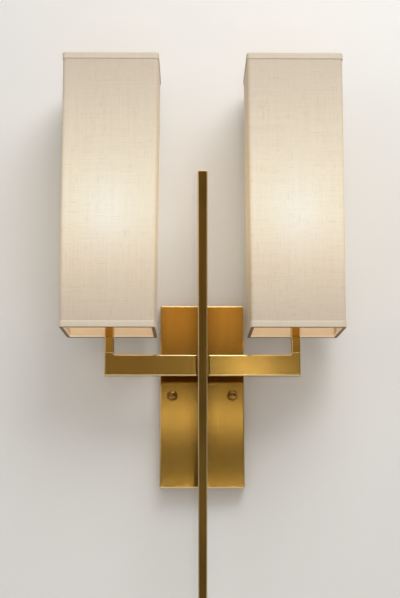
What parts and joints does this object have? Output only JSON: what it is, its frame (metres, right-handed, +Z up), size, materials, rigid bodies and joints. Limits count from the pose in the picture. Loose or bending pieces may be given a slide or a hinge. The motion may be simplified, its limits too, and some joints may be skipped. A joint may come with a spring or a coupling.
{
  "type": "double arm wall sconce",
  "caption": "Wall light: pan back plate, long tapered bar and square tube arms that turn up into tall rectangular linen shades on threaded lamp holders.",
  "frame": {"origin": "on the wall, midway between the two outlet box slots and between the two ball nuts", "axes": "+X right and +Z up as seen by someone facing the wall, -Y out of the wall towards them"},
  "size_m": [0.4084, 0.1367, 0.8118],
  "materials": {
    "satin_brass": "satin, fine brushed",
    "plain_brass": "bright, unlacquered",
    "plated_steel": "zinc plated",
    "green_screw": "green dyed plating",
    "linen": "slubby plain weave on a stiff lining",
    "trim_tape": "folded linen tape",
    "shade_wire": "white enamel",
    "holder_moulding": "dark thermoset",
    "frosted_glass": "frosted",
    "bulb_cap": "satin"
  },
  "bodies": {
    "fixture": {"box_bar": "plated_steel", "stud_bar": "plated_steel", "strap_bush": "plated_steel", "plate_studs": "plated_steel", "stud_lock_nuts": "plated_steel", "ground_screw": "green_screw", "back_plate": "satin_brass", "standoff_tube": "satin_brass", "standoff_pipe": "plated_steel", "pipe_washer": "plated_steel", "pipe_nut": "plated_steel", "hub": "satin_brass", "tapered_bar": "satin_brass", "bar_screws": "plated_steel", "arm_right": "satin_brass", "arm_left": "satin_brass", "upright_left": "satin_brass", "upright_bush_left": "plain_brass", "holder_pipe_left": "plated_steel", "holder_cup_left": "satin_brass", "holder_body_left": "holder_moulding", "screw_shell_left": "plain_brass", "centre_contact_left": "plain_brass", "upright_right": "satin_brass", "upright_bush_right": "plain_brass", "holder_pipe_right": "plated_steel", "holder_cup_right": "satin_brass", "holder_body_right": "holder_moulding", "screw_shell_right": "plain_brass", "centre_contact_right": "plain_brass"},
    "shade_left": {"shade_skin_left": "linen", "shade_top_trim_left": "trim_tape", "shade_bottom_trim_left": "trim_tape", "shade_top_wire_left": "shade_wire", "shade_bottom_wire_left": "shade_wire", "shade_corner_wires_left": "shade_wire", "shade_spider_left": "shade_wire"},
    "ring_left": {"shade_ring_left": "satin_brass"},
    "bulb_left": {"bulb_glass_left": "frosted_glass", "bulb_base_left": "bulb_cap", "bulb_tip_left": "bulb_cap"},
    "nut_left": {"ball_nut_left": "satin_brass"},
    "shade_right": {"shade_skin_right": "linen", "shade_top_trim_right": "trim_tape", "shade_bottom_trim_right": "trim_tape", "shade_top_wire_right": "shade_wire", "shade_bottom_wire_right": "shade_wire", "shade_corner_wires_right": "shade_wire", "shade_spider_right": "shade_wire"},
    "ring_right": {"shade_ring_right": "satin_brass"},
    "bulb_right": {"bulb_glass_right": "frosted_glass", "bulb_base_right": "bulb_cap", "bulb_tip_right": "bulb_cap"},
    "nut_right": {"ball_nut_right": "satin_brass"}
  },
  "joints": [
    {"name": "shade_swivel_left", "type": "hinge", "parent": "fixture", "child": "shade_left", "pos_m": [-0.13385, -0.0825, 0.191], "axis": [0, 0, 1], "range_deg": [-28, 28]},
    {"name": "ring_turn_left", "type": "hinge", "parent": "fixture", "child": "ring_left", "pos_m": [-0.13385, -0.0825, 0.191], "axis": [0, 0, 1], "continuous": true},
    {"name": "bulb_turn_left", "type": "hinge", "parent": "fixture", "child": "bulb_left", "pos_m": [-0.13385, -0.0825, 0.191], "axis": [0, 0, 1], "continuous": true},
    {"name": "nut_turn_left", "type": "hinge", "parent": "fixture", "child": "nut_left", "pos_m": [-0.04445, -0.025, 0], "axis": [0, -1, 0], "continuous": true},
    {"name": "shade_swivel_right", "type": "hinge", "parent": "fixture", "child": "shade_right", "pos_m": [0.13385, -0.0825, 0.191], "axis": [0, 0, 1], "range_deg": [-28, 28]},
    {"name": "ring_turn_right", "type": "hinge", "parent": "fixture", "child": "ring_right", "pos_m": [0.13385, -0.0825, 0.191], "axis": [0, 0, 1], "continuous": true},
    {"name": "bulb_turn_right", "type": "hinge", "parent": "fixture", "child": "bulb_right", "pos_m": [0.13385, -0.0825, 0.191], "axis": [0, 0, 1], "continuous": true},
    {"name": "nut_turn_right", "type": "hinge", "parent": "fixture", "child": "nut_right", "pos_m": [0.04445, -0.025, 0], "axis": [0, -1, 0], "continuous": true}
  ]
}
